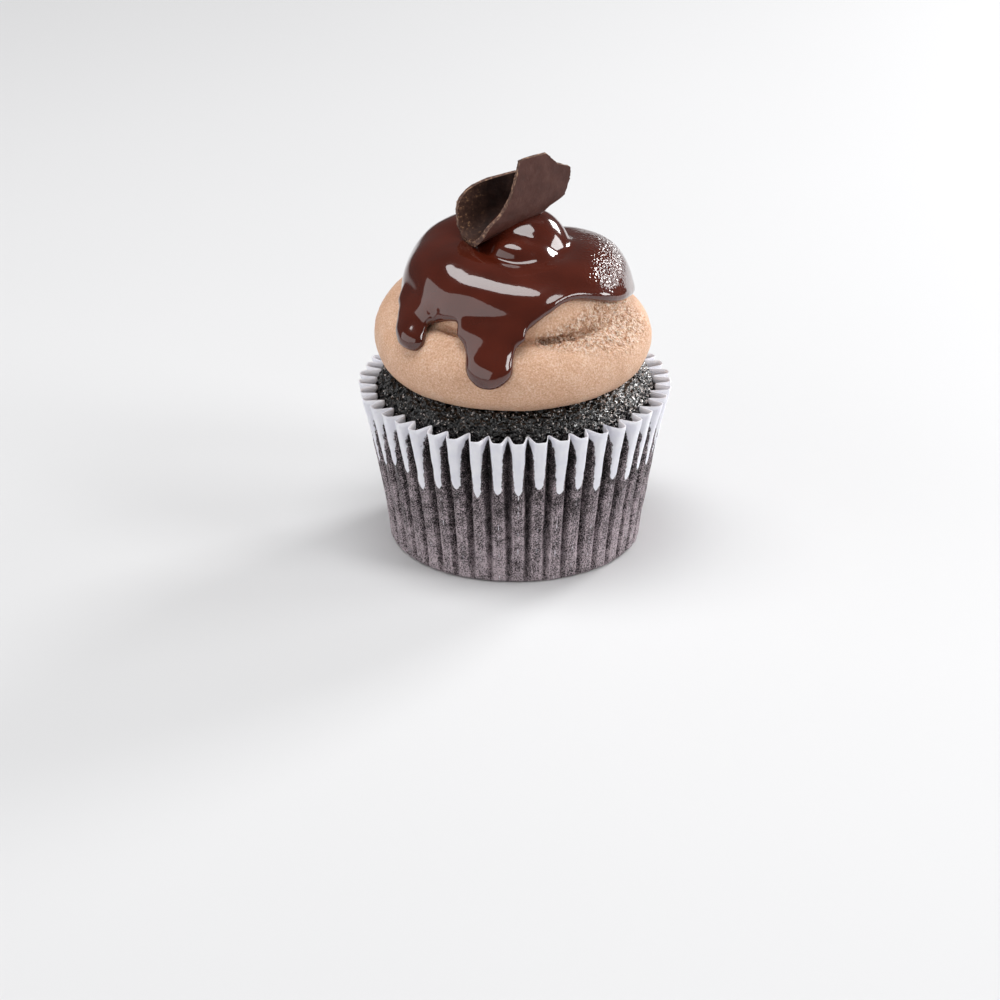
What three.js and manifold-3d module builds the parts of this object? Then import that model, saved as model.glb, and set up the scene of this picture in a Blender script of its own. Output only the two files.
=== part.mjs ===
// A chocolate cupcake: a dark sponge in a pleated white paper case, topped with a piped rope of
// chocolate buttercream, a poured cap of dark glaze that runs down in drips, and a curled shaving
// of dark chocolate. Millimetres, +Z up. The origin is the centre of the case's flat base, and the
// front of the cupcake faces -Y. An azimuth is in degrees, counted from +X towards +Y.
import * as THREE from "three";
import { mergeVertices } from "three/addons/utils/BufferGeometryUtils.js";
import Module from "manifold-3d";

const wasm = await Module();
wasm.setup();

// The paper case: a flat disc of paper pressed into a cup, so its wall folds into pleats that are
// deeper the higher they stand.
const PLEATS = 44;
const BASE_RADIUS = 25.7;
const CASE_HEIGHT = 33.5;
const FLARE = 0.12; // radius gained for each millimetre of height, at the base
const FLARE_GROWTH = 0.002;
const PAPER = 0.4; // the wall's thickness along the radius
const PLEAT_COLUMNS = 4; // two on the outer face of a pleat, two in the fold behind it
const CASE_LEVELS = [0.7, 10, 22, CASE_HEIGHT];

// The sponge, and the gap kept between neighbouring pieces.
const GAP = 0.3;
const SPONGE_SHOULDER = 31.5; // height at which the side turns into the dome
const DOME_HEIGHT = 10.5;
const DOME_POWER = 2.6; // how square the dome's shoulder is

// The buttercream rope. A turn is one lap, clockwise seen from above: turn 0 passes the right-hand
// side, and the rope starts a little before it and ends in a lump at the front of the top.
const ROPE_SIDES = 14;
const LAP_STEPS = 28; // rings in one turn
// Its path: turn, distance from the axis, height, and half its width and height there.
const ROPE = [
  [-0.2, 19.2, 43.6, 8.2, 7.8],
  [0, 19.3, 44.2, 8.4, 7.9],
  [0.25, 19.9, 43.7, 8.6, 7.7],
  [0.5, 20, 44.2, 8.7, 8.6],
  [0.6, 19.4, 45.8, 8.8, 9],
  [0.72, 17.8, 48.2, 9, 9],
  [0.83, 16, 50.5, 9.2, 9.2],
  [0.92, 14.3, 52.2, 9.4, 9.4],
  [1, 13.1, 52.8, 9.4, 9.4],
  [1.25, 12.8, 52.2, 9.8, 9.8],
  [1.5, 12.2, 54.4, 9.4, 9.8],
  [1.62, 11.4, 56, 9.2, 9.6],
  [1.74, 9, 57.2, 8.8, 9],
];
const ROPE_START = ROPE[0][0];
const ROPE_END = ROPE.at(-1)[0];
const TOP_LUMP = { at: [1.5, 0.5, 61.2], radii: [8.4, 8.2, 8] };
const TAIL_LUMP = { at: [1.5, -6.4, 61.8], radii: [5.6, 4.4, 3.6] };

// The glaze: its thickness, and the height of its edge round the swirl, [azimuth, height].
const GLAZE = 1.5;
const EDGE_RADIUS = 22;
const EDGE = [
  [0, 53], [32, 51], [62, 54.5], [92, 51.5], [112, 52.5], [136, 57], [158, 55.6], [184, 52.6],
  [212, 51.8], [228, 52.5], [243, 53.7], [256, 52.4], [268, 52.4], [278, 55.5], [290, 58.6],
  [303, 60], [318, 57.8], [335, 55.3],
];
// Drips run from the glaze over the rope below it: where, how low, how wide.
const DRIPS = [
  { azimuth: 258.6, foot: 44.3, width: 9.8 },
  { azimuth: 219.5, foot: 48.4, width: 8 },
  { azimuth: 117, foot: 46.6, width: 6.8 },
  { azimuth: 84, foot: 43.4, width: 8 },
  { azimuth: 40, foot: 47.4, width: 6.6 },
];
const DRIP_TOP = 57;
const DRIP_DEPTH = 2.5; // how far a drip's foot stands out; its top is level with the glaze

// The chocolate curl: a strip bent to a J, its long arm in front. Along its own axis it runs from
// the left end to the right; its section is followed from the rear arm's edge to the front arm's.
const CURL_FOOT = [-8.9, -4.7, 65.3];
const CURL_AXIS = [0.855, 0.42, 0.3];
const CURL_THICKNESS = 1.1;
const CURL_RADIUS = 4;
const CURL_BEND = 86; // degrees of tight bend on each side before an arm straightens
const CURL_ARM_RADIUS = 90;
const CURL_REAR = -11.5;
const CURL_FRONT = 16.2;
// Where the strip's left and right ends lie, [distance round the section, place along the axis].
const CURL_LEFT = [
  [-11.5, 4.4], [-11, 2.4], [-10, 1.2], [-5, 0.3], [-3, 0], [2.3, 0], [5.5, 2.7], [7.2, 6.4],
  [9.5, 9.1], [12.1, 11], [16.2, 13.4],
];
const CURL_RIGHT = [
  [-11.5, 7.5], [-10.8, 11.5], [-10, 15.5], [-8.5, 18], [-4.5, 15], [0, 13.6], [2.3, 14.9],
  [4.1, 17.2], [5, 20.4], [8, 22.4], [10.2, 23.3], [12, 20.8], [15.1, 19.3], [16.2, 14.4],
];

const rad = THREE.MathUtils.degToRad;
const smooth = THREE.MathUtils.smoothstep;
const lerp = THREE.MathUtils.lerp;

// Moves every vertex of a geometry to place(x, y, z), and keeps only the positions.
function shaped(geometry, place) {
  const position = geometry.attributes.position;
  for (let i = 0; i < position.count; i++) {
    position.setXYZ(i, ...place(position.getX(i), position.getY(i), position.getZ(i)));
  }
  geometry.deleteAttribute("normal");
  geometry.deleteAttribute("uv");
  return geometry;
}

// A closed geometry as a solid that can be joined and cut.
function solid(geometry) {
  const merged = mergeVertices(geometry, 1e-3);
  return new wasm.Manifold(
    new wasm.Mesh({
      numProp: 3,
      vertProperties: merged.attributes.position.array,
      triVerts: new Uint32Array(merged.index.array),
    }),
  );
}

function geometryOf(made) {
  const { numProp, vertProperties, triVerts } = made.getMesh();
  const positions = new Float32Array((vertProperties.length / numProp) * 3);
  for (let i = 0; i < positions.length / 3; i++) {
    positions.set(vertProperties.subarray(i * numProp, i * numProp + 3), i * 3);
  }
  return new THREE.BufferGeometry()
    .setAttribute("position", new THREE.BufferAttribute(positions, 3))
    .setIndex(new THREE.BufferAttribute(triVerts, 1));
}

const joined = (solids) => solids.reduce((whole, piece) => whole.add(piece));

// A value that passes through the [place, value] pairs with level ends, held beyond the first and last.
function along(pairs, place) {
  const next = pairs.findIndex(([at]) => at > place);
  if (next === 0) return pairs[0][1];
  if (next < 0) return pairs.at(-1)[1];
  const [[from, a], [to, b]] = [pairs[next - 1], pairs[next]];
  return lerp(a, b, (place - from) / (to - from));
}

// The same round a full circle, smoothly.
function around(pairs, azimuth) {
  const a = ((azimuth % 360) + 360) % 360;
  const ring = [...pairs, [pairs[0][0] + 360, pairs[0][1]]];
  const next = ring.findIndex(([at]) => at > a);
  const [[from, low], [to, high]] = [ring[next - 1], ring[next]];
  return lerp(low, high, smooth(a, from, to));
}

// A lathe's axis is Y. This turns it upright.
function upright(profile, sides) {
  const points = profile.map(([r, z]) => new THREE.Vector2(r, z));
  return new THREE.LatheGeometry(points, sides).rotateX(Math.PI / 2);
}

// The case

const outerRadius = (z) => BASE_RADIUS + FLARE * z + FLARE_GROWTH * z * z;

// The disc of paper is wider than the wall that it makes at this height, and the pleats take up
// the spare length: each is half a pitch wide and as deep as the folded paper needs.
function pleatDepth(z) {
  const halfPitch = (Math.PI * outerRadius(z)) / PLEATS;
  const spare = (BASE_RADIUS + z) / outerRadius(z);
  return 0.3 + 0.9 * halfPitch * Math.sqrt(Math.max(spare * spare - 1, 0));
}

const foldRadius = (z) => outerRadius(z) - pleatDepth(z);

function caseGeometry() {
  const wall = (inwards) => CASE_LEVELS.map((z) => [outerRadius(z) - inwards, z]);
  const profile = [[0, 0], [BASE_RADIUS - 0.9, 0], ...wall(0), ...wall(PAPER).reverse(), [0, CASE_LEVELS[0]]];
  const columnAngle = (2 * Math.PI) / (PLEATS * PLEAT_COLUMNS);
  return shaped(upright(profile, PLEATS * PLEAT_COLUMNS), (x, y, z) => {
    const r = Math.hypot(x, y);
    if (z < 0.3 || r < 1) return [x, y, z];
    const column = Math.round(Math.atan2(y, x) / columnAngle + PLEATS * PLEAT_COLUMNS);
    const inFold = column % PLEAT_COLUMNS > 1;
    const pinch = [-0.12, 0.12, 0.22, -0.22][column % PLEAT_COLUMNS];
    const angle = (column + pinch) * columnAngle;
    const radius = inFold ? r - pleatDepth(z) : r;
    return [radius * Math.cos(angle), radius * Math.sin(angle), z];
  });
}

// The sponge

// The sponge's side stays clear of the folds, which run straight from one level to the next.
const FOLDS = CASE_LEVELS.map((z) => [z, foldRadius(z)]);
const sideRadius = (z) => along(FOLDS, z) - PAPER - GAP;

// The dome's outline from the shoulder to the top, grown outwards by some amount.
function domeProfile(steps, grow) {
  const shoulder = sideRadius(SPONGE_SHOULDER);
  return Array.from({ length: steps + 1 }, (_, i) => {
    const turn = (Math.PI / 2) * (i / steps);
    const r = i === steps ? 0 : (shoulder + grow) * Math.cos(turn) ** (2 / DOME_POWER);
    return [r, SPONGE_SHOULDER + (DOME_HEIGHT + grow) * Math.sin(turn)];
  });
}

function spongeGeometry() {
  const foot = CASE_LEVELS[0] + GAP;
  const side = [foot + 1, ...CASE_LEVELS.slice(1, -1)].map((z) => [sideRadius(z), z]);
  const profile = [[0, foot], [sideRadius(foot) - 1, foot], ...side, ...domeProfile(9, 0)];
  return upright(profile, 56);
}

const domeGrown = () => solid(shaped(upright([[0, 20], [24, 20], ...domeProfile(9, GAP)], 56), (...p) => p));

// The buttercream

function ropeAt(turn) {
  const [radius, height, halfWidth, halfHeight] = [1, 2, 3, 4].map((column) =>
    along(ROPE.map((row) => [row[0], row[column]]), turn),
  );
  return { angle: rad(-360 * turn), radius, height, halfWidth, halfHeight };
}

// A stretch of the rope with flat ends. Its rings stand upright on the rope's path.
function ropeStretch(from, to, grow) {
  const steps = Math.round((to - from) * LAP_STEPS);
  const tube = new THREE.CylinderGeometry(1, 1, 1, ROPE_SIDES, steps);
  return solid(
    shaped(tube, (x, y, z) => {
      const at = ropeAt(lerp(to, from, y + 0.5));
      const radius = at.radius + (at.halfWidth + grow) * x;
      const height = at.height + (at.halfHeight + grow) * z;
      return [radius * Math.cos(at.angle), radius * Math.sin(at.angle), height];
    }),
  );
}

function lump({ at, radii }, grow, detail = 16) {
  const ball = new THREE.SphereGeometry(1, detail, Math.round(detail * 0.6)).rotateX(Math.PI / 2);
  return solid(
    shaped(ball, (x, y, z) => [
      at[0] + (radii[0] + grow) * x,
      at[1] + (radii[1] + grow) * y,
      at[2] + (radii[2] + grow) * z,
    ]),
  );
}

// The rope's blunt ends are balls.
function ropeTip(turn, grow) {
  const { angle, radius, height, halfWidth, halfHeight } = ropeAt(turn);
  const at = [radius * Math.cos(angle), radius * Math.sin(angle), height];
  return lump({ at, radii: [halfWidth, halfWidth, halfHeight] }, grow);
}

const FILLING = [[0, 32], [17, 32], [16, 46], [10, 57], [0, 61]];
const filling = () => solid(shaped(upright(FILLING, 24), (...p) => p));

function swirl(grow, from) {
  const stretches = [];
  for (let turn = from; turn < ROPE_END - 1e-6; turn += 0.485) {
    stretches.push(ropeStretch(turn, Math.min(turn + 0.485, ROPE_END), grow));
  }
  const lumps = [lump(TOP_LUMP, grow), lump(TAIL_LUMP, grow, 12), ropeTip(ROPE_END, grow)];
  return joined([...stretches, ...lumps, filling()]);
}

// The glaze

// All that lies above the glaze's edge.
function aboveEdge() {
  const reach = 40;
  const middle = 50;
  const block = new THREE.CylinderGeometry(reach, reach, 1, 90, 1).rotateX(Math.PI / 2);
  return solid(
    shaped(block, (x, y, z) => {
      if (z > 0) return [x, y, 90];
      const azimuth = THREE.MathUtils.radToDeg(Math.atan2(y, x));
      const slope = Math.hypot(x, y) / EDGE_RADIUS;
      return [x, y, middle + (around(EDGE, azimuth) - middle) * slope];
    }),
  );
}

// How far out the buttercream reaches at an azimuth and a height.
function swirlRadius(azimuth, z) {
  const first = Math.ceil(ROPE_START + azimuth / 360) - azimuth / 360;
  let reach = 0;
  for (let turn = first; turn <= ROPE_END; turn++) {
    const at = ropeAt(turn);
    const rise = (z - at.height) / at.halfHeight;
    if (Math.abs(rise) < 1) reach = Math.max(reach, at.radius + at.halfWidth * Math.sqrt(1 - rise ** 2));
  }
  return reach;
}

// A drip clings to the buttercream, bridges its crease, and swells at its foot.
function drip({ azimuth, foot, width }) {
  const ball = new THREE.SphereGeometry(1, 14, 14).rotateX(Math.PI / 2);
  const length = DRIP_TOP - foot;
  return solid(
    shaped(ball, (x, y, z) => {
      const drop = (1 - z) / 2; // 0 at the top, 1 at the foot
      const height = DRIP_TOP - length * drop;
      const girth = Math.min(1, Math.hypot(x, y) * 1e6) * fullness(drop, width / 2 / length);
      const round = Math.hypot(x, y) || 1;
      const reaches = [-1.8, -0.9, 0, 0.9, 1.8].map((offset) => swirlRadius(azimuth, height + offset));
      const reach = reaches.reduce((sum, value) => sum + value) / reaches.length;
      const side = (girth * width * y) / round / 2;
      const depth = lerp(GLAZE - 0.1, DRIP_DEPTH, smooth(drop, 0.2, 0.7));
      const out = reach + (girth * depth * x) / round;
      const a = rad(azimuth);
      return [
        out * Math.cos(a) - side * Math.sin(a),
        out * Math.sin(a) + side * Math.cos(a),
        height,
      ];
    }),
  );
}

// A drip's width down its length, as a share of the most: a neck, then a round foot.
function fullness(drop, footShare) {
  const left = (1 - drop) / (2 * footShare);
  const roundFoot = left < 0.5 ? Math.sqrt(1 - (1 - 2 * left) ** 2) : 1;
  const roundTop = drop < 0.1 ? Math.sqrt(1 - (1 - drop / 0.1) ** 2) : 1;
  return Math.min(roundFoot, roundTop, lerp(1.06, 1, smooth(drop, 0.3, 0.6)));
}

// The curl

// A point of the strip's section, and its outward direction, at a distance from the section's foot.
function curlSection(distance) {
  const steps = 40;
  const bend = CURL_RADIUS * rad(CURL_BEND);
  let across = 0;
  let up = 0;
  let angle = 0;
  for (let i = 0; i < steps; i++) {
    const at = (distance * (i + 0.5)) / steps;
    const bent = THREE.MathUtils.clamp(at, -bend, bend);
    angle = bent / CURL_RADIUS + (at - bent) / CURL_ARM_RADIUS;
    across += (Math.cos(angle) * distance) / steps;
    up += (Math.sin(angle) * distance) / steps;
  }
  return { across, up, angle };
}

function curlGeometry(grow) {
  const axis = new THREE.Vector3(...CURL_AXIS).normalize();
  const front = new THREE.Vector3(axis.y, -axis.x, 0).normalize();
  const upward = front.clone().cross(axis);
  const foot = new THREE.Vector3(...CURL_FOOT);
  const strip = new THREE.BoxGeometry(1, 1, 1, 6, 22, 1);
  return shaped(strip, (x, y, z) => {
    const distance = lerp(CURL_REAR - grow, CURL_FRONT + grow, y + 0.5);
    const [left, right] = [along(CURL_LEFT, distance) - grow, along(CURL_RIGHT, distance) + grow];
    const { across, up, angle } = curlSection(distance);
    const out = z * (CURL_THICKNESS + 2 * grow);
    return foot
      .clone()
      .addScaledVector(axis, lerp(left, right, x + 0.5))
      .addScaledVector(front, across + out * Math.sin(angle))
      .addScaledVector(upward, up - out * Math.cos(angle))
      .toArray();
  });
}

// The whole

function piece(name, geometry, colour, roughness) {
  const mesh = new THREE.Mesh(geometry, new THREE.MeshStandardMaterial({ color: colour, roughness, metalness: 0 }));
  mesh.name = name;
  return mesh;
}

const wholeSwirl = (grow) => swirl(grow, ROPE_START).add(ropeTip(ROPE_START, grow));
const curlGrown = solid(curlGeometry(GAP));
const buttercream = wholeSwirl(0).subtract(domeGrown()).subtract(curlGrown);
const glaze = swirl(GLAZE, 0.55)
  .intersect(aboveEdge())
  .add(joined(DRIPS.map(drip)))
  .subtract(wholeSwirl(GAP))
  .subtract(curlGrown);

const cupcake = new THREE.Group();
cupcake.add(piece("paper_case", caseGeometry(), 0xdcdce4, 0.9));
cupcake.add(piece("sponge", spongeGeometry(), 0x1c1614, 0.8));
cupcake.add(piece("buttercream", geometryOf(buttercream), 0xc59d80, 0.75));
cupcake.add(piece("glaze", geometryOf(glaze), 0x3c1a12, 0.15));
cupcake.add(piece("chocolate_curl", curlGeometry(0), 0x4a2f29, 0.55));

export default cupcake;
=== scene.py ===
# The looks of a chocolate cupcake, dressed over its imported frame: a pleated paper case, a dark
# sponge, a piped swirl of chocolate buttercream, a poured glaze and a curl of dark chocolate.
# Blender's own unit is the metre. Sizes here are written in millimetres and turned by MM.
import math
import random

import bpy
from mathutils import Matrix, Quaternion, Vector, noise


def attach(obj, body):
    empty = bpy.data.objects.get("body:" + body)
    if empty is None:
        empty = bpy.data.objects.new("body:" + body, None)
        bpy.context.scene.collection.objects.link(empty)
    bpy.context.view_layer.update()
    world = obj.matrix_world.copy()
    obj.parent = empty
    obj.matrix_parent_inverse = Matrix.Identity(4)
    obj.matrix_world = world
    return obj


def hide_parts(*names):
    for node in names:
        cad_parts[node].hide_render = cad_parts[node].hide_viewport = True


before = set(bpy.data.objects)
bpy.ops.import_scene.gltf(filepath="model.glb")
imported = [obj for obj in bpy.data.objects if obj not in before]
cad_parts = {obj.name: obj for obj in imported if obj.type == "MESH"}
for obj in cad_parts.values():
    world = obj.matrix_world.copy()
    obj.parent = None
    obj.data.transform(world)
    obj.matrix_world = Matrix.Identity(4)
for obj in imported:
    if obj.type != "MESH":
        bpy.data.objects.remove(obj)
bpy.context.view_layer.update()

# The paper case: a disc of thin white greaseproof paper, pressed into a cup so that its wall folds
# into pleats, deeper towards the rim. The batter soaks it dark from inside, and it stays white
# only in the strips where the crests of the pleats stand clear of the cake.
MM = 0.001
PLEATS = 44
PITCH = 2 * math.pi / PLEATS
FIRST_CREST = math.radians(1.02)
BASE_RADIUS = 25.7
FLOOR_RADIUS = 24.8
CORNER = (25.3, 0.15)  # radius and height of the rounded corner between floor and wall
WALL_FOOT = 0.6
CASE_HEIGHT = 33.5
FLARE = 0.12
FLARE_GROWTH = 0.002
PAPER = 0.16
LEAST_PLEAT = 0.3
PLEAT_SHARE = 0.9  # how much of the spare paper goes into the pleats
WALL_ROWS = 34
PLEAT_COLUMNS = 14
# Across half a pleat, from the middle of its crest to the fold: place, and share of the depth.
HALF_PLEAT = [
    (0, 0), (0.2, 0), (0.36, 0.02), (0.5, 0.12), (0.64, 0.36), (0.78, 0.66), (0.9, 0.9), (1, 1),
]
NARROW_FOLDS = 1.2  # how much narrower the folds are at the foot than from OPEN_FOLDS up
OPEN_FOLDS = 26
STRIP_ENDS = (18.4, 22.4)  # heights between which the white strips end

hand = random.Random(12)


def wall_radius(height):
    return BASE_RADIUS + FLARE * height + FLARE_GROWTH * height**2


def pleat_depth(height):
    """How deep the wall must fold at a height to take up the disc's spare paper."""
    half_pitch = math.pi * wall_radius(height) / PLEATS
    spare = (BASE_RADIUS + height) / wall_radius(height)
    return LEAST_PLEAT + PLEAT_SHARE * half_pitch * math.sqrt(max(spare**2 - 1, 0))


def pick(*pieces):
    bpy.ops.object.select_all(action="DESELECT")
    for piece in pieces:
        piece.select_set(True)
    bpy.context.view_layer.objects.active = pieces[0]


def finish_with(piece, kind, **settings):
    """Adds a modifier and applies it."""
    pick(piece)
    modifier = piece.modifiers.new(kind, kind)
    for name, value in settings.items():
        setattr(modifier, name, value)
    bpy.ops.object.modifier_apply(modifier=modifier.name)


def uneven(piece, size, height, depth=2, group=""):
    """Pushes the surface in and out by soft lumps of a size, the highest and lowest a height apart."""
    lumps = bpy.data.textures.new("lumps", "CLOUDS")
    lumps.noise_scale = size * MM
    lumps.noise_depth = depth
    finish_with(piece, "DISPLACE", texture=lumps, texture_coords="LOCAL", strength=height * MM,
                mid_level=0.5, vertex_group=group)


def turned(name, profile, sides):
    """A round piece raised from its foot, ring by ring, up to the pole or an open rim."""
    radius, height = profile[0]
    bpy.ops.mesh.primitive_circle_add(vertices=sides, radius=radius * MM, location=(0, 0, height * MM),
                                      fill_type="NGON")
    piece = bpy.context.object
    piece.name = name
    bpy.ops.object.transform_apply(location=True)
    bpy.ops.object.mode_set(mode="EDIT")
    bpy.ops.mesh.select_mode(type="EDGE")
    bpy.ops.mesh.select_all(action="SELECT")
    bpy.ops.mesh.region_to_loop()
    for wider, higher in profile[1:]:
        bpy.ops.mesh.extrude_edges_move(TRANSFORM_OT_translate={"value": (0, 0, (higher - height) * MM)})
        if wider == 0:
            bpy.ops.mesh.merge(type="CENTER")
            break
        bpy.ops.transform.resize(value=(wider / radius, wider / radius, 1), center_override=(0, 0, 0))
        radius, height = wider, higher
    bpy.ops.mesh.select_all(action="SELECT")
    bpy.ops.mesh.normals_make_consistent(inside=False)
    bpy.ops.object.mode_set(mode="OBJECT")
    bpy.ops.object.shade_smooth()
    return piece


def between(pairs, place):
    """The value at a place on the straight lines through [place, value] pairs."""
    for (start, low), (end, high) in zip(pairs, pairs[1:]):
        if place <= end:
            return low + (high - low) * max(place - start, 0) / (end - start)
    return pairs[-1][1]


def mark(piece, name, values):
    """Keeps a value for each corner of a mesh, for its material to read."""
    piece.data.attributes.new(name, "FLOAT", "POINT").data.foreach_set("value", values)


rows = [(FLOOR_RADIUS, 0), CORNER]
for row in range(WALL_ROWS + 1):
    height = WALL_FOOT + (CASE_HEIGHT - WALL_FOOT) * row / WALL_ROWS
    rows.append((wall_radius(height), height))
paper_cup = turned("paper_cup", rows, PLEATS * PLEAT_COLUMNS)

# Each crest and each fold stands a little out of line, more so towards the rim: it leans out or in
# by millimetres, and it is shifted round by a share of the pitch.
crest_lean = [hand.gauss(0, 0.2) for _ in range(PLEATS)]
crest_shift = [hand.gauss(0, 0.035) for _ in range(PLEATS)]
fold_lean = [hand.gauss(0, 0.22) for _ in range(PLEATS)]
fold_shift = [hand.gauss(0, 0.04) for _ in range(PLEATS)]
strip_end = [hand.uniform(*STRIP_ENDS) for _ in range(PLEATS)]

across = []
ends = []
for corner in paper_cup.data.vertices:
    x, y, z = corner.co / MM
    column = round((math.atan2(y, x) / PITCH) * PLEAT_COLUMNS) % (PLEATS * PLEAT_COLUMNS)
    pleat = column // PLEAT_COLUMNS
    step = column % PLEAT_COLUMNS
    side = 1
    fold = pleat
    if step > PLEAT_COLUMNS // 2:
        side = -1
        step = PLEAT_COLUMNS - step
        pleat = (pleat + 1) % PLEATS
        fold = pleat - 1
    place, depth = HALF_PLEAT[step]
    upward = (z / CASE_HEIGHT) ** 1.5
    lean = (crest_lean[pleat] * (1 - place) + fold_lean[fold] * place) * upward
    shift = (crest_shift[pleat] * (1 - place) + fold_shift[fold] * place) * upward
    azimuth = FIRST_CREST + PITCH * (pleat + side * place / 2 + shift)
    radius = math.hypot(x, y) + lean
    if z > WALL_FOOT / 2:
        narrowed = 1 + NARROW_FOLDS * (1 - min(z / OPEN_FOLDS, 1))
        radius -= depth**narrowed * pleat_depth(z)
    corner.co = Vector((radius * math.cos(azimuth), radius * math.sin(azimuth), z)) * MM
    across.append(place)
    ends.append(strip_end[pleat] * MM)
mark(paper_cup, "across_pleat", across)
mark(paper_cup, "strip_end", ends)
finish_with(paper_cup, "SOLIDIFY", thickness=PAPER * MM, offset=-1)
uneven(paper_cup, 5, 0.35)
uneven(paper_cup, 1.6, 0.08)


def colour(red, green, blue):
    """A colour as seen on a screen, as the linear values that the shaders take."""
    shares = [channel / 255 for channel in (red, green, blue)]
    linear = [share / 12.92 if share <= 0.04045 else ((share + 0.055) / 1.055) ** 2.4 for share in shares]
    return (*linear, 1)


class Finish:
    """A material, with short ways to add its nodes. A value given for an input is a number, a
    colour, or the output of another node."""

    def __init__(self, name, **inputs):
        self.made = bpy.data.materials.new(name)
        self.made.use_nodes = True
        self.tree = self.made.node_tree
        self.shader = self.tree.nodes["Principled BSDF"]
        self.place = self.add("TexCoord").outputs["Object"]
        self.looks(**inputs)

    def give(self, socket, value):
        if isinstance(value, bpy.types.NodeSocket):
            self.tree.links.new(value, socket)
        elif value is not None:
            socket.default_value = value

    def looks(self, **inputs):
        """Sets the shader's own inputs."""
        for name, value in inputs.items():
            self.give(self.shader.inputs[name.replace("_", " ")], value)

    def add(self, kind, *ordered, settings=None, **named):
        node = self.tree.nodes.new("ShaderNode" + kind)
        for name, value in (settings or {}).items():
            setattr(node, name, value)
        for index, value in enumerate(ordered):
            self.give(node.inputs[index], value)
        for name, value in named.items():
            self.give(node.inputs[name], value)
        return node

    def along(self, axis):
        """How far a point lies along an axis, in metres."""
        return self.add("SeparateXYZ", self.place).outputs[axis]

    def marked(self, name):
        """What mark() kept for a corner."""
        return self.add("Attribute", settings={"attribute_name": name}).outputs["Fac"]

    def maths(self, operation, *values):
        return self.add("Math", *values, settings={"operation": operation}).outputs[0]

    def scaled(self, value, start, end, low=0, high=1):
        """A value's run from start to end, turned into one from low to high."""
        return self.add("MapRange", value, start, end, low, high, settings={"clamp": True}).outputs["Result"]

    def specks(self, size, detail=2, roughness=0.5):
        """Noise whose lumps are about this many millimetres across."""
        return self.add("TexNoise", Vector=self.place, Scale=1 / (size * MM), Detail=detail,
                        Roughness=roughness).outputs["Fac"]

    def ramp(self, value, *stops):
        """Colours or greys along a value, as (place, colour) stops."""
        node = self.add("ValToRGB", value)
        points = node.color_ramp.elements
        while len(points) < len(stops):
            points.new(0.5)
        for point, (place, shade) in zip(points, stops):
            point.position = place
            point.color = shade if isinstance(shade, tuple) else (shade, shade, shade, 1)
        return node.outputs["Color"]

    def mix(self, share, first, second):
        node = self.add("Mix", settings={"data_type": "RGBA", "clamp_result": True})
        for index, value in ((0, share), (6, first), (7, second)):
            self.give(node.inputs[index], value)
        return node.outputs[2]

    def relief(self, *layers):
        """Bumps in the surface, as (height in millimetres, pattern) layers."""
        normal = None
        for height, pattern in layers:
            normal = self.add("Bump", Strength=1.0, Distance=height * MM, Height=pattern,
                              Normal=normal).outputs["Normal"]
        self.looks(Normal=normal, Coat_Normal=normal)

    def on(self, piece):
        piece.data.materials.clear()
        piece.data.materials.append(self.made)


paper = Finish("greaseproof_paper", Specular_IOR_Level=0.3)
height = paper.along("Z")
crest_place = paper.marked("across_pleat")
# The white strips widen upwards, most at the rim, and come to a ragged point at their end.
ragged = paper.scaled(paper.specks(1.3, 3, 0.6), 0.3, 0.7, -1, 1)
strip = paper.scaled(height, 18 * MM, 30 * MM, 0.29, 0.6)
near_rim = paper.scaled(height, 29 * MM, 33 * MM, 0, 0.68)
strip = paper.maths("MULTIPLY_ADD", near_rim, near_rim, strip)
above_end = paper.scaled(paper.maths("SUBTRACT", height, paper.marked("strip_end")), 0, 1 * MM)
strip = paper.maths("MULTIPLY", strip, paper.maths("POWER", above_end, 0.5))
edge = paper.maths("SUBTRACT", strip, paper.maths("MULTIPLY_ADD", ragged, 0.07, crest_place))
dry = paper.scaled(edge, 0, 0.05)
# The soaked paper is dark with pale grains, paler along the sides of the crests and at the foot. It is also
# darkened towards the folds, which is painted shade.
grains = paper.specks(0.21, 2, 0.8)
blotches = paper.specks(3, 3, 0.6)
mottle = paper.maths("MULTIPLY_ADD", paper.scaled(blotches, 0.3, 0.7, -0.5, 0.5), 0.11, grains)
for paler in (
    paper.ramp(crest_place, (0.34, 0.0), (0.5, 0.04), (0.66, 0.0)),
    # Painted shade: darker towards the fold.
    paper.scaled(crest_place, 0.5, 1, 0.01, -0.03),
    paper.scaled(height, 3 * MM, 27 * MM, 0.05, -0.05),
):
    mottle = paper.maths("ADD", mottle, paler)
soaked = paper.ramp(
    mottle, (0.43, colour(12, 9, 10)), (0.515, colour(60, 51, 53)), (0.605, colour(208, 192, 198)))
white = paper.mix(paper.scaled(blotches, 0.35, 0.65), colour(237, 237, 246), colour(246, 246, 251))
paper.looks(Base_Color=paper.mix(dry, soaked, white), Roughness=paper.scaled(dry, 0, 1, 0.6, 0.85))
paper.relief((0.12, grains), (0.06, paper.specks(0.25, 2)))
paper.on(paper_cup)
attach(paper_cup, "root")
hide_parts("paper_case")

# The sponge: a dark chocolate cake baked in its case. Its top has risen to a low dome whose open,
# moist crumb shows between the paper and the buttercream.
SIDE_HEIGHTS = (0.9, 6, 14, 22, 28, 30.5)
SIDE_GAP = 0.6  # how far its side stays clear of the folds
SHOULDER_HEIGHT = 31.8
SHOULDER_RADIUS = 27.9
DOME_HEIGHT = 10.2
DOME_FULLNESS = 2.6
DOME_FLATNESS = 2.2
DOME_ROWS = 96
SPONGE_COLUMNS = 620
SHOWN_ABOVE = 31
SHOWN_BEYOND = 14


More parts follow.
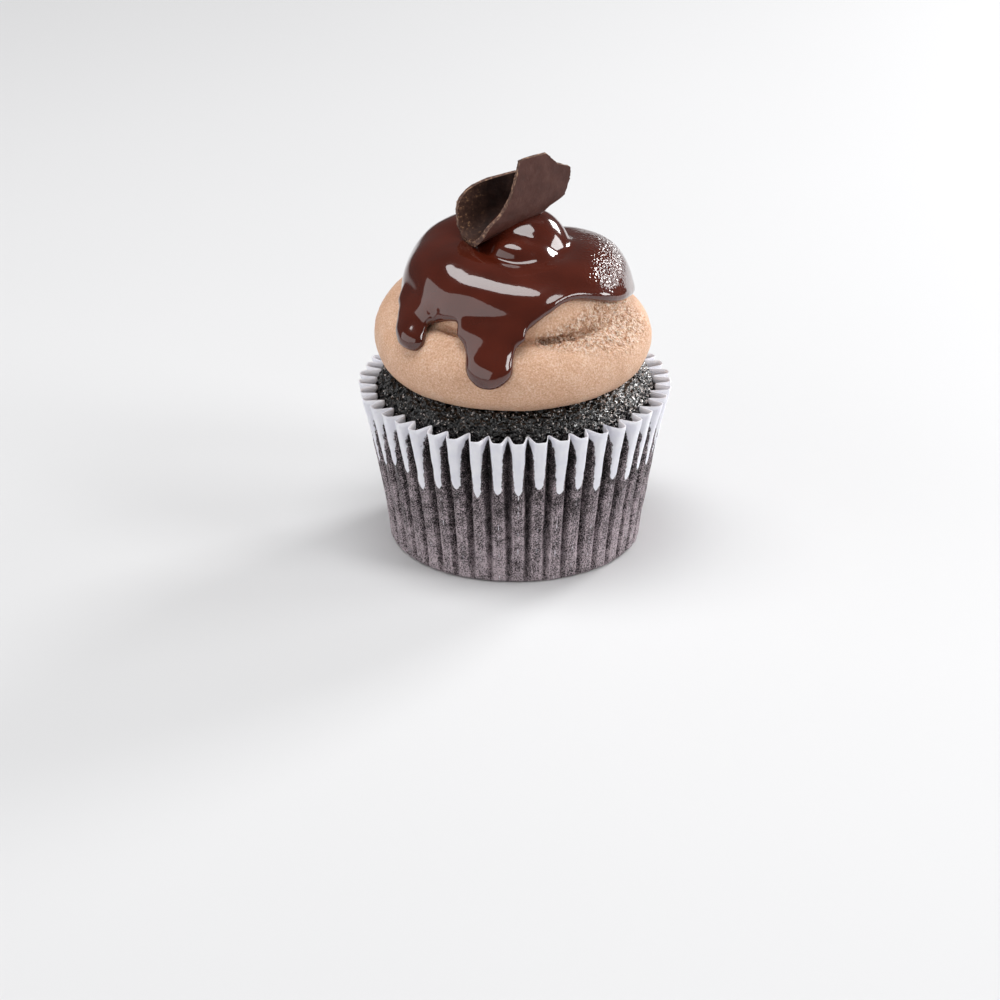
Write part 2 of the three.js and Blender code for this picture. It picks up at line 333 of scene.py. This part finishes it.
def dome_at(share):
    """Radius and height on the dome, from its shoulder (0) to its top (1)."""
    turn = math.pi / 2 * share
    radius = SHOULDER_RADIUS * math.cos(turn) ** (2 / DOME_FULLNESS)
    return radius, SHOULDER_HEIGHT + DOME_HEIGHT * math.sin(turn) ** (2 / DOME_FLATNESS)


def copied(piece):
    """A copy with a mesh of its own."""
    copy = piece.copy()
    copy.data = piece.data.copy()
    bpy.context.collection.objects.link(copy)
    return copy


side_rows = [(wall_radius(height) - pleat_depth(height) - SIDE_GAP, height) for height in SIDE_HEIGHTS]
dome_rows = [dome_at(row / DOME_ROWS) for row in range(DOME_ROWS)]
top_of_dome = (0, SHOULDER_HEIGHT + DOME_HEIGHT)
cake = turned("cake", side_rows + dome_rows + [top_of_dome], SPONGE_COLUMNS)
plain_cake = copied(cake)

shown = cake.vertex_groups.new(name="shown")
for corner in cake.data.vertices:
    x, y, z = corner.co / MM
    if z > SHOWN_ABOVE and math.hypot(x, y) > SHOWN_BEYOND:
        shown.add([corner.index], 1, "ADD")
uneven(cake, 6, 1.2, group="shown")
uneven(cake, 1.4, 0.9, depth=3, group="shown")
uneven(cake, 0.55, 0.8, depth=1, group="shown")

# Loose crumbs cling to it, all from one crumb.
CRUMBS = 420
CRUMB_SIZES = (0.18, 0.5)
CRUMB_FLATNESS = (0.6, 1)
CRUMB_PLACES = (0.06, 0.5)  # shares of the way up the dome
CRUMB_LIFT = 0.1
CRUMB_LUMPS = 0.35  # how uneven a crumb is, as a share of its size
bpy.ops.mesh.primitive_ico_sphere_add(subdivisions=2, radius=1)
one_crumb = bpy.context.object
for corner in one_crumb.data.vertices:
    corner.co *= 1 + CRUMB_LUMPS * noise.noise(corner.co * 1.7)
crumbs = []
for _ in range(CRUMBS):
    crumb = copied(one_crumb)
    azimuth = hand.uniform(0, 2 * math.pi)
    radius, height = dome_at(hand.uniform(*CRUMB_PLACES))
    size = hand.uniform(*CRUMB_SIZES)
    spin = Matrix.Rotation(hand.uniform(0, 6.28), 4, Vector((hand.random(), hand.random(), 1)).normalized())
    at = Vector((radius * math.cos(azimuth), radius * math.sin(azimuth), height + CRUMB_LIFT)) * MM
    stretch = Vector((size, size * hand.uniform(*CRUMB_FLATNESS), size * hand.uniform(*CRUMB_FLATNESS))) * MM
    crumb.data.transform(Matrix.Translation(at) @ spin @ Matrix.Diagonal((*stretch, 1)))
    crumbs.append(crumb)
pick(*crumbs)
bpy.ops.object.join()
loose_crumbs = bpy.context.object
loose_crumbs.name = "loose_crumbs"
bpy.data.objects.remove(one_crumb)

# Pale specks in the crumb's colour are painted glints, and more of them are painted towards the right; its
# gloss also rises towards the right.
sponge = Finish("chocolate_sponge", Roughness=0.06, IOR=1.75)
to_right = sponge.along("X")
painted_glints_right = sponge.scaled(to_right, 12 * MM, 22 * MM, -0.01, 0.055)
grain_and_painted_glints = sponge.maths("ADD", sponge.specks(0.6, 2, 0.7), painted_glints_right)
sponge.looks(
    Base_Color=sponge.ramp(
        # The palest stop paints glints into the crumb's colour.
        grain_and_painted_glints, (0.45, colour(2, 2, 2)), (0.62, colour(9, 6, 5)), (0.69, colour(236, 224, 218))),
    Specular_IOR_Level=sponge.scaled(to_right, 9 * MM, 22 * MM, 0.34, 0.75))
sponge.relief((0.4, sponge.specks(1.8, 1, 0.5)), (0.9, sponge.specks(0.8, 0)))
for piece in (cake, loose_crumbs):
    sponge.on(piece)
    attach(piece, "root")
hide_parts("sponge")

# The buttercream: chocolate buttercream piped through a plain round nozzle, in a thick rope that
# is laid round the sponge nearly twice, closes over the middle and ends in a lump at the front.

# The rope's path, a turn being one lap, clockwise seen from above: turn, distance from the middle,
# height, half the width and half the height.
ROPE = [
    (-0.2, 19.2, 43.6, 8.2, 7.8),
    (0, 19.3, 44.2, 8.4, 7.9),
    (0.25, 19.9, 43.7, 8.6, 7.7),
    (0.5, 20, 44.2, 8.7, 8.6),
    (0.6, 19.4, 45.8, 8.8, 9),
    (0.72, 17.8, 48.2, 9, 9),
    (0.83, 16, 50.5, 9.2, 9.2),
    (0.92, 14.3, 52.2, 9.4, 9.4),
    (1, 13.1, 52.8, 9.4, 9.4),
    (1.25, 12.8, 52.2, 9.8, 9.8),
    (1.5, 12.2, 54.4, 9.4, 9.8),
    (1.62, 11.4, 56, 9.2, 9.6),
    (1.74, 9, 57.2, 8.8, 9),
]
ROPE_START = ROPE[0][0]
ROPE_END = ROPE[-1][0]
ROPE_STEP = 0.011
# Lumps: the middle, and half the sizes.
TOP_LUMP = ((1.5, 0.5, 61.2), (8.4, 8.2, 8))
TAIL_LUMP = ((1.5, -6.4, 61.8), (5.6, 4.4, 3.6))
CORE_FOOT = 17
CORE_TOP = 9
CORE_HEIGHT = 24
CORE_MIDDLE = 48


def rope_at(turn):
    """The rope's azimuth, distance, height, half width and half height at a turn."""
    sizes = [between([(row[0], row[column]) for row in ROPE], turn) for column in range(1, 5)]
    return (-2 * math.pi * turn, *sizes)


def out_at(distance, azimuth, height):
    """The point at a distance from the middle, an azimuth in radians and a height."""
    return Vector((distance * math.cos(azimuth), distance * math.sin(azimuth), height))


def ball(at, radii, azimuth=0, sides=28, tilt=0):
    bpy.ops.mesh.primitive_uv_sphere_add(segments=sides, ring_count=sides * 2 // 3, radius=MM,
                                         location=Vector(at) * MM, rotation=(0, -tilt, azimuth), scale=radii)
    return bpy.context.object


def rope_of_balls(start, end, grown):
    """A row of balls so close together that they are one smooth rope once they are fused."""
    balls = []
    for step in range(round((end - start) / ROPE_STEP) + 1):
        azimuth, distance, height, wide, high = rope_at(start + step * ROPE_STEP)
        radii = (wide + grown, wide + grown, high + grown)
        balls.append(ball(out_at(distance, azimuth, height), radii, azimuth))
    for at, radii in (TOP_LUMP, TAIL_LUMP):
        balls.append(ball(at, [radius + grown for radius in radii]))
    return balls


def reskin(piece, voxel, smoothing):
    """Draws one even skin over a piece, and rounds its creases."""
    finish_with(piece, "REMESH", mode="VOXEL", voxel_size=voxel * MM, use_smooth_shade=True)
    finish_with(piece, "SMOOTH", factor=0.5, iterations=smoothing)


def fused(name, parts, voxel, smoothing):
    """Joins closed parts that overlap into one piece."""
    pick(*parts)
    bpy.ops.object.join()
    piece = bpy.context.object
    piece.name = name
    bpy.ops.object.transform_apply(location=True, rotation=True, scale=True)
    reskin(piece, voxel, smoothing)
    return piece


def cut(piece, tool, how="DIFFERENCE"):
    finish_with(piece, "BOOLEAN", object=tool, operation=how, solver="MANIFOLD")
    bpy.data.objects.remove(tool)


bpy.ops.mesh.primitive_cone_add(vertices=48, radius1=CORE_FOOT * MM, radius2=CORE_TOP * MM,
                                depth=CORE_HEIGHT * MM, location=(0, 0, CORE_MIDDLE * MM))
core = bpy.context.object
swirl = fused("swirl", rope_of_balls(ROPE_START, ROPE_END, 0) + [core], voxel=0.5, smoothing=2)
plain_swirl = copied(swirl)
cut(swirl, plain_cake)
reskin(swirl, voxel=0.4, smoothing=1)


def lap_reaches(azimuth, height):
    """How far out each lap of the rope stands at an azimuth in degrees and a height, lowest first."""
    turn = math.ceil(ROPE_START + azimuth / 360) - azimuth / 360
    reaches = []
    while turn <= ROPE_END:
        _, distance, middle, wide, high = rope_at(turn)
        rise = (height - middle) / high
        reaches.append(distance + wide * math.sqrt(1 - rise**2) if abs(rise) < 1 else 0)
        turn += 1
    return reaches


def swirl_reach(azimuth, height):
    return max(lap_reaches(azimuth, height))


# The second lap has sunk into the first in front, with a sharp crease between them. On the right
# it has slid over the first, and left it torn and crumbly.
CREASE_WIDTH = 1
CREASE_DEPTH = 3
CREASE_ABOVE = 46
# How deep the crease is: azimuth, depth.
CREASE = [
    (226, 0), (234, 2.2), (246, 2), (256, 0.8), (270, 1.5), (281, 1.5), (284, 2.8), (292, 2.5),
    (302, 2), (312, 1.2), (322, 0),
]
TEAR_START = 280
TEAR_END = 362
TEAR_WIDENS = 45  # degrees in which it grows from narrow to wide
TEAR_FADES = 15
TEAR_NARROW = 1.5
TEAR_WIDE = 9
crease = {}
for azimuth in range(CREASE[0][0], TEAR_END + 1):
    height = CREASE_ABOVE
    while lap_reaches(azimuth, height)[0] > lap_reaches(azimuth, height)[1]:
        height += 0.1
    crease[azimuth] = Vector((swirl_reach(azimuth, height), height))
sunk = swirl.vertex_groups.new(name="sunk")
tear = swirl.vertex_groups.new(name="tear")
torn = []
creased = []
for corner in swirl.data.vertices:
    x, y, z = corner.co / MM
    torn.append(0)
    creased.append(0)
    azimuth = round(math.degrees(math.atan2(y, x)) - 2) % 360 + 2  # 2 to 361 degrees
    if azimuth not in crease:
        continue
    away = (Vector((math.hypot(x, y), z)) - crease[azimuth]).length
    if away < CREASE_WIDTH:
        creased[-1] = between(CREASE, azimuth) / CREASE_DEPTH * (1 - away / CREASE_WIDTH)
        sunk.add([corner.index], creased[-1], "REPLACE")
    if azimuth > TEAR_START:
        opened = min((azimuth - TEAR_START) / TEAR_WIDENS, 1)
        reach = TEAR_NARROW + (TEAR_WIDE - TEAR_NARROW) * opened
        fade = max(0, min((TEAR_END - azimuth) / TEAR_FADES, 1))
        torn[-1] = max(0, min(1, 2 * (1 - away / reach))) * fade
        tear.add([corner.index], torn[-1], "REPLACE")
mark(swirl, "torn", torn)
mark(swirl, "creased", creased)
finish_with(swirl, "DISPLACE", strength=-CREASE_DEPTH * MM, mid_level=0, vertex_group="sunk")
uneven(swirl, 9, 0.45, depth=1)
uneven(swirl, 2.4, 0.12)
uneven(swirl, 0.9, 1.5, depth=3, group="tear")

# It is smooth and matt, and crumbly where it is torn, with its pits painted darker as shade and its crumbs
# painted paler as light. The crease is darkened with painted shade.
buttercream = Finish("chocolate_buttercream", Roughness=0.62, Specular_IOR_Level=0.35,
                     Subsurface_Weight=0.12, Subsurface_Radius=(0.9, 0.45, 0.25), Subsurface_Scale=1.5 * MM)
soft = buttercream.specks(4, 3, 0.6)
fine = buttercream.specks(0.36, 2, 0.7)
pits = buttercream.specks(0.6, 2, 0.7)
crumbly = buttercream.marked("torn")
tone = buttercream.maths("MULTIPLY_ADD", fine, 0.5, buttercream.maths("MULTIPLY_ADD", soft, 0.15, 0.175))
# Where torn, the tone's wider spread is partly painted light and shade: darker pits as shade, paler crumbs
# as light.
painted_pit_shade_crumb_light = buttercream.maths("MULTIPLY", crumbly, buttercream.scaled(pits, 0.32, 0.68, -0.2, 0.24))
tone = buttercream.maths("ADD", tone, painted_pit_shade_crumb_light)
cream = buttercream.ramp(
    tone, (0.3, colour(176, 126, 92)), (0.5, colour(218, 175, 145)), (0.68, colour(245, 221, 202)))
# Painted shade in the crease: the colour darkens there towards a shadowed brown.
crease_shade_amount = buttercream.maths("ADD", buttercream.marked("creased"), 0.45)
crease_shade_amount = buttercream.maths("MULTIPLY_ADD", pits, -0.9, crease_shade_amount)
painted_crease_shade = buttercream.scaled(crease_shade_amount, 0.4, 0.85)
buttercream.looks(Base_Color=buttercream.mix(painted_crease_shade, cream, colour(92, 60, 42)))
coarse = buttercream.maths("MULTIPLY", pits, crumbly)
buttercream.relief((0.05, soft), (0.1, fine), (0.8, coarse), (0.08, buttercream.specks(0.2, 2)))
buttercream.on(swirl)
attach(swirl, "root")
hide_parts("buttercream")

# The glaze: melted dark chocolate and cream, poured over the top while it is warm. It sets glossy,
# with a rolled lip round its edge, fine bubbles on the right, and drips that swell at the foot.
GLAZE = 1.5
GLAZE_START = 0.55
GLAZE_OVERLAP = 0.3  # how deep it lies in the buttercream, so that no gap shows
EDGE_RADIUS = 22
EDGE_MIDDLE = 50
# The height of the edge round the swirl, where it is EDGE_RADIUS wide: azimuth, height.
EDGE = [
    (0, 53), (32, 51), (62, 54.5), (92, 51.5), (112, 52.5), (136, 57), (158, 55.6), (184, 52.6),
    (212, 51.8), (228, 53.4), (238, 55.7), (248, 54), (256, 52.4), (268, 52.4), (278, 55.5), (290, 58.6),
    (303, 60), (318, 57.8), (335, 55.3), (360, 53),
]
LIP = 1.2  # half its thickness
LIP_BALLS = 240
LIP_OUT = 0.5
LIP_UP = 0.4
LIP_EVENED = 5  # balls to either side over which its path is evened out
LIP_GAPS = [(33, 47), (78, 91), (110, 124), (204, 222), (250, 266)]  # where it gives way to drips
# Each drip: azimuth at the top, azimuth at the foot, height of its foot, width, share by which it
# narrows at its neck, share by which it widens at the edge.
DRIPS = [
    (258, 259, 44.2, 10.8, 0.1, 0.38),
    (207, 220, 48, 10, 0.2, 0.3),
    (117, 116, 46.6, 6.8, 0.12, 0.4),
    (84, 85, 43.4, 8, 0.12, 0.4),
    (41, 39, 47.4, 6.6, 0.12, 0.4),
]
DRIP_TOP = 57
DRIP_THIN = 1.7
DRIP_DEPTH = 3
DRIP_STEP = 0.6
NECK_BEGINS = (0.3, 0.45)  # these three are shares of the way down a drip
NECK_ENDS = (0.85, 0.6)
DRIP_DEEPENS = (0.4, 0.9)
WIDENS_OVER = 1.3  # height over which a drip's wide shoulders narrow, below the edge
THINS_OVER = 5  # height above the edge at which a drip has lost THINS_BY of its depth
THINS_BY = 0.35
FOOT_ROUNDNESS = 2.5
BRIDGE = [0.01, 1, 2, 3, 4.5, 6]  # steps up and down over which a drip spans the hollow below it
# Where the rope's end lies under the glaze: its middle, half its sizes.
END_LUMP = ((0, -7, 64.2), (4.7, 4.5, 3.4))


def eased(value, start, end):
    """How far a value has come from start to end, leaving and arriving gently."""
    share = min(max((value - start) / (end - start), 0), 1)
    return share * share * (3 - 2 * share)


def edge_height(azimuth):
    degrees = math.degrees(azimuth) % 360
    for (start, low), (end, high) in zip(EDGE, EDGE[1:]):
        if degrees <= end:
            return low + (high - low) * eased(degrees, start, end)


def edge_at(azimuth, distance):
    """The edge's height where it lies nearer to the middle than EDGE_RADIUS, or further from it."""
    return EDGE_MIDDLE + (edge_height(azimuth) - EDGE_MIDDLE) * distance / EDGE_RADIUS


def lip_of_balls():
    """The rolled lip, as a row of balls round the swirl."""
    azimuths = [2 * math.pi * step / LIP_BALLS for step in range(LIP_BALLS)]
    path = []
    for azimuth in azimuths:
        height = edge_height(azimuth)
        for _ in range(6):  # the swirl's reach and the edge's height there settle together
            reach = swirl_reach(math.degrees(azimuth), height)
            height = edge_at(azimuth, reach)
        path.append(Vector((reach + LIP_OUT, height + LIP_UP)))
    balls = []
    nearby = range(-LIP_EVENED, LIP_EVENED + 1)
    for step, azimuth in enumerate(azimuths):
        if any(start < math.degrees(azimuth) < end for start, end in LIP_GAPS):
            continue
        near = [path[(step + other) % LIP_BALLS] for other in nearby]
        reach, height = sum(near, Vector((0, 0))) / len(near)
        balls.append(ball(out_at(reach, azimuth, height), (LIP, LIP, LIP), sides=15))
    return balls


def bridged_reach(azimuth, height):
    """How far out a drip lies: on the swirl, or on a line that spans the hollow between two laps."""
    spans = []
    for down in BRIDGE:
        below = swirl_reach(azimuth, height - down)
        for up in BRIDGE:
            above = swirl_reach(azimuth, height + up)
            spans.append((below * up + above * down) / (up + down))
    return max(spans)


def drip_of_balls(top_azimuth, foot_azimuth, foot, width, narrows, widens):
    """A drip as a stack of flat balls laid on the rope's surface, with a round foot."""
    length = DRIP_TOP - foot
    path = []
    for step in range(round(length / DRIP_STEP)):
        height = foot + step * DRIP_STEP
        azimuth = foot_azimuth + (top_azimuth - foot_azimuth) * (height - foot) / length
        path.append((math.radians(azimuth), Vector((bridged_reach(azimuth, height), height))))
    balls = []
    run = 0
    for (_, below), (azimuth, here) in zip(path, path[1:]):
        step = here - below
        run += step.length
        to_middle = 1 - 2 * min(run / width, 0.5)
        round_foot = (1 - to_middle**FOOT_ROUNDNESS) ** (1 / FOOT_ROUNDNESS)
        drop = (DRIP_TOP - here.y) / length
        neck = 1 - narrows * eased(drop, *NECK_BEGINS) * eased(drop, *NECK_ENDS)
        above = here.y - edge_height(azimuth)
        full = round_foot * neck * (1 + widens * min(math.exp(above / WIDENS_OVER), 1))
        depth = DRIP_THIN + (DRIP_DEPTH - DRIP_THIN) * eased(drop, *DRIP_DEEPENS)
        depth *= (0.5 + 0.5 * round_foot) * (1 - THINS_BY * eased(above, 0, THINS_OVER))
        radii = (depth, full * width / 2, 2 * DRIP_STEP)
        balls.append(ball(out_at(here.x, azimuth, here.y), radii, azimuth, 24, math.atan2(-step.x, step.y)))
    return balls


poured = fused("poured_glaze", rope_of_balls(GLAZE_START, ROPE_END, GLAZE), voxel=0.5, smoothing=6)
# Only what lies above the edge is kept: the part inside a block whose underside is the edge's surface.
BLOCK_RADIUS = 40
BLOCK_TOP = 90
bpy.ops.mesh.primitive_circle_add(vertices=180, radius=BLOCK_RADIUS * MM, fill_type="TRIFAN")
kept_above = bpy.context.object
bpy.ops.object.mode_set(mode="EDIT")
bpy.ops.mesh.select_all(action="SELECT")
bpy.ops.mesh.extrude_region_move(TRANSFORM_OT_translate={"value": (0, 0, BLOCK_TOP * MM)})
bpy.ops.mesh.select_all(action="SELECT")
bpy.ops.mesh.normals_make_consistent(inside=False)
bpy.ops.object.mode_set(mode="OBJECT")
for corner in kept_above.data.vertices:
    x, y, z = corner.co / MM
    if z < BLOCK_TOP / 2:
        corner.co.z = edge_at(math.atan2(y, x), math.hypot(x, y)) * MM
cut(poured, kept_above, "INTERSECT")
all_drips = [piece for drip in DRIPS for piece in drip_of_balls(*drip)]
glaze_parts = [poured, ball(*END_LUMP)] + all_drips + lip_of_balls()
poured = fused("poured_glaze", glaze_parts, voxel=0.4, smoothing=7)
finish_with(plain_swirl, "DISPLACE", strength=-GLAZE_OVERLAP * MM, mid_level=0)
cut(poured, plain_swirl)
reskin(poured, voxel=0.36, smoothing=10)
uneven(poured, 7, 0.5, depth=0)
above_edge = []
for corner in poured.data.vertices:
    x, y, z = corner.co / MM
    above_edge.append((z - edge_at(math.atan2(y, x), math.hypot(x, y))) * MM)
mark(poured, "above_edge", above_edge)

# The bubbles lie in the thick part on the right, and leave the lip smooth.
glaze = Finish("dark_glaze", Roughness=0.2, Specular_IOR_Level=0.08, Coat_Weight=1.0, Coat_IOR=1.7,
               Coat_Roughness=0.05)
thick = glaze.specks(6, 1, 0.4)
glaze.looks(Base_Color=glaze.ramp(thick, (0.3, colour(71, 24, 12)), (0.7, colour(83, 30, 17))))
to_right = glaze.along("X")
bubbly = glaze.maths("POWER", glaze.scaled(to_right, 9.5 * MM, 17.5 * MM, 0.1, 1), 2.2)
bubbly = glaze.maths("MULTIPLY", bubbly, glaze.scaled(to_right, 19.5 * MM, 23 * MM, 1, 0.1))
above_lip = glaze.scaled(glaze.marked("above_edge"), 1.5 * MM, 4 * MM, 0.1, 1)
bubbly = glaze.maths("MULTIPLY", bubbly, above_lip)
bubbles = glaze.maths("MULTIPLY", bubbly, glaze.specks(0.55, 0))
glaze.relief((0.02, glaze.specks(2.5, 1)), (0.38, bubbles))
glaze.on(poured)
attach(poured, "root")
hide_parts("glaze")

# The curl: a shaving of dark chocolate, pushed off a block with a blade so that it rolls up as it
# goes. It is pressed into the glaze on top, and its edges are thin and broken.
CURL_FOOT = Vector((-8.9, -4.7, 65.3))
CURL_AXIS = Vector((0.855, 0.42, 0.3)).normalized()
CURL_THICKNESS = 1.1
CURL_RADIUS = 4
CURL_BEND = math.radians(86)
CURL_ARM_RADIUS = 90
CURL_REAR = -11.5
CURL_FRONT = 16.2
CURL_STEPS = 40
CURL_COLUMNS = 70
CURL_ROWS = 100
CHIPS = 0.2
# Where the strip's left and right ends lie: distance round the section, place along the axis.
CURL_LEFT = [
    (-11.5, 5.4), (-11.2, 3.9), (-10.6, 2.5), (-9.6, 1.4), (-8, 0.5), (-6, -0.1), (-4, -0.4),
    (-2, -0.3), (2.3, 0), (5.5, 2.7), (7.2, 6.4), (9.5, 9.1), (12.1, 11), (16.2, 13.4),
]
CURL_RIGHT = [
    (-11.5, 7.5), (-10.8, 11.5), (-10, 15.5), (-8.5, 18), (-4.5, 15), (0, 13.6), (2.3, 14.9),
    (4.1, 17.2), (5, 20.4), (8, 22.4), (10.2, 23.3), (12, 20.8), (15.1, 19.3), (16.2, 14.4),
]


def curl_section(distance):
    """Across and up from the section's foot, at a distance round it."""
    bend = CURL_RADIUS * CURL_BEND
    across = up = 0
    for step in range(CURL_STEPS):
        at = distance * (step + 0.5) / CURL_STEPS
        bent = min(max(at, -bend), bend)
        angle = bent / CURL_RADIUS + (at - bent) / CURL_ARM_RADIUS
        across += math.cos(angle) * distance / CURL_STEPS
        up += math.sin(angle) * distance / CURL_STEPS
    return across, up


def chips_at(distance):
    """How far the blade's breaks bite into the strip's ends."""
    broad = noise.noise(Vector((distance * 0.9, 3, 0)))
    fine = noise.noise(Vector((distance * 3, 7, 0)))
    return CHIPS * broad + CHIPS * fine


bpy.ops.mesh.primitive_grid_add(x_subdivisions=CURL_COLUMNS, y_subdivisions=CURL_ROWS, size=1)
shaving = bpy.context.object
shaving.name = "shaving"
front = Vector((CURL_AXIS.y, -CURL_AXIS.x, 0)).normalized()
upward = front.cross(CURL_AXIS)
for corner in shaving.data.vertices:
    share = corner.co.x + 0.5
    distance = CURL_REAR + (CURL_FRONT - CURL_REAR) * (corner.co.y + 0.5)
    left = between(CURL_LEFT, distance) + chips_at(distance)
    right = between(CURL_RIGHT, distance) - chips_at(distance)
    across_curl, up_curl = curl_section(distance)
    along_axis = left + (right - left) * share
    corner.co = (CURL_FOOT + CURL_AXIS * along_axis + front * across_curl + upward * up_curl) * MM


def chocolate(name, dark, mid, light, roughness, gloss, bloom_size):
    """Chocolate with a faint bloom of paler patches."""
    made = Finish(name, Specular_IOR_Level=gloss, Roughness=roughness)
    made.shade = made.ramp(made.specks(bloom_size, 4, 0.6), (0.35, dark), (0.5, mid), (0.68, light))
    made.looks(Base_Color=made.shade)
    made.relief((0.08, made.specks(0.5, 3, 0.6)), (0.04, made.specks(0.2, 2)))
    return made


face = chocolate("dark_chocolate", colour(76, 43, 35), colour(83, 48, 40), colour(91, 56, 47),
                 roughness=0.48, gloss=0.4, bloom_size=2.4)
# The hollow's darker colours are painted shade for the inside of the roll.
hollow = chocolate("chocolate_hollow_painted_shade", colour(28, 14, 10), colour(36, 19, 14), colour(52, 32, 25),
                   roughness=0.6, gloss=0.15, bloom_size=2.4)
broken = chocolate("broken_chocolate", colour(74, 50, 42), colour(92, 66, 57), colour(170, 134, 108),
                   roughness=0.7, gloss=0.4, bloom_size=0.8)
# Its left end is paler: crumbs of it lie there, and the paler colour also paints the light that falls into
# the hollow's open end.
to_left = hollow.scaled(hollow.along("X"), -5.5 * MM, -11.5 * MM)
crumbs_and_painted_light_left = hollow.ramp(
    hollow.specks(0.6, 2),
    (0.4, colour(74, 50, 42)), (0.62, colour(96, 68, 56)), (0.68, colour(168, 128, 96)))
hollow.looks(Base_Color=hollow.mix(to_left, hollow.shade, crumbs_and_painted_light_left))
for made in (face, hollow, broken):
    shaving.data.materials.append(made.made)
finish_with(shaving, "SOLIDIFY", thickness=CURL_THICKNESS * MM, offset=0, material_offset=1,
            material_offset_rim=2)
uneven(shaving, 4, 0.4)
uneven(shaving, 0.9, 0.12)
pick(shaving)
bpy.ops.object.shade_smooth_by_angle(angle=math.radians(50))
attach(shaving, "root")
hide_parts("chocolate_curl")

# The table: a plain pale surface under soft studio lamps. A lamp behind on the right makes the
# shadow, two more on the right light that side and its glints, a wide card on the left fills the
# shadow and shows in the front of the glaze, and a lamp overhead draws the highlight round it.
TABLE_SIZE = 30000
bpy.ops.mesh.primitive_plane_add(size=TABLE_SIZE * MM)
table = bpy.context.object
table.name = "table"
pale = Finish("pale_table", Roughness=0.7, Specular_IOR_Level=0.2)
pale.looks(Base_Color=pale.mix(pale.specks(200), colour(217, 217, 218), colour(221, 221, 222)))
pale.on(table)


def lamp(name, shape, place, width, depth, power, turn=0):
    """A soft lamp that faces the cupcake, placed in millimetres and turned in its own plane."""
    bpy.ops.object.light_add(type="AREA", location=Vector(place) * MM)
    made = bpy.context.object
    made.name = name
    made.data.shape = shape
    made.data.size = width * MM
    made.data.size_y = depth * MM
    made.data.energy = power
    aim = (Vector((0, 0, 40)) - Vector(place)).to_track_quat("-Z", "Y")
    made.rotation_euler = (aim @ Quaternion((0, 0, 1), math.radians(turn))).to_euler()


lamp("key_lamp", "RECTANGLE", (564, 564, 380), 250, 210, 4.2)
lamp("side_lamp", "RECTANGLE", (706, -329, 490), 300, 380, 2.5)
lamp("window_lamp", "RECTANGLE", (790, 130, 310), 300, 270, 2)
lamp("fill_card", "RECTANGLE", (-594, -371, 300), 1500, 540, 3.1)
lamp("top_lamp", "ELLIPSE", (-105, -7, 900), 1050, 430, 6, turn=60)

world = bpy.data.worlds.new("studio")
world.use_nodes = True
world.node_tree.nodes["Background"].inputs["Color"].default_value = (1, 1, 1, 1)
world.node_tree.nodes["Background"].inputs["Strength"].default_value = 0.09
bpy.context.scene.world = world
bpy.context.scene.view_settings.view_transform = "Standard"

# The camera stands in front of the cupcake and looks down at it by 25 degrees.
CAMERA_PLACE = Vector((-3.11, -679.5, 324.1))
CAMERA_TILT = math.radians(64.95)
CAMERA_LENS = 130.14
bpy.ops.object.camera_add(location=CAMERA_PLACE * MM, rotation=(CAMERA_TILT, 0, 0))
camera = bpy.context.object
camera.data.lens = CAMERA_LENS
camera.data.sensor_width = 36
bpy.context.scene.camera = camera
